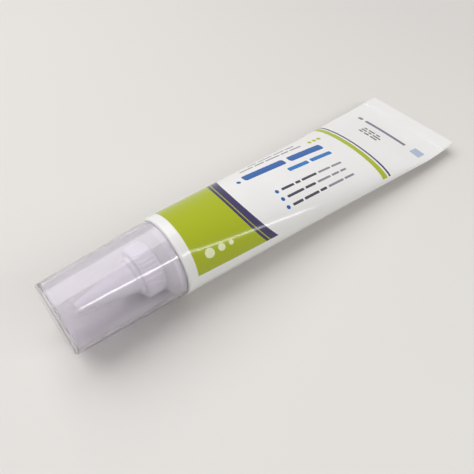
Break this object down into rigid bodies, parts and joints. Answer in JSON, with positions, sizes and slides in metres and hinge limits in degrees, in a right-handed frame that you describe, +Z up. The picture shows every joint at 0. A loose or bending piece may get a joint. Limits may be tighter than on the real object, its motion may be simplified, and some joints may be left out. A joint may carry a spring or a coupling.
{
  "type": "caulk tube",
  "caption": "Filled squeeze tube of sealant lying on its flat side, with a crimped tail, a ribbed screw-on nozzle and a translucent pull-off overcap.",
  "frame": {"origin": "on the table, under the middle of the tube's box as it lies on its flat side", "axes": "+X from the overcap's closed end to the crimped tail, +Z up from the table, +Y to the left of +X"},
  "size_m": [0.2144, 0.055, 0.0347],
  "materials": {
    "sleeve_laminate": "satin white laminate with printed colour fields",
    "nozzle_plastic": "natural translucent moulding",
    "overcap_plastic": "clear moulding with a slight haze"
  },
  "bodies": {
    "tube": {"tube": "sleeve_laminate"},
    "nozzle": {"nozzle": "nozzle_plastic"},
    "overcap": {"overcap": "overcap_plastic"}
  },
  "joints": [
    {"name": "overcap_pull", "type": "slide", "parent": "tube", "child": "overcap", "axis": [-0.9986, 0, 0.0523], "range_m": [0, 0.05]},
    {"name": "nozzle_turn", "type": "hinge", "parent": "tube", "child": "nozzle", "pos_m": [-0.05981, 0, 0.01723], "axis": [-0.9986, 0, 0.0523], "range_deg": [0, 720]}
  ]
}
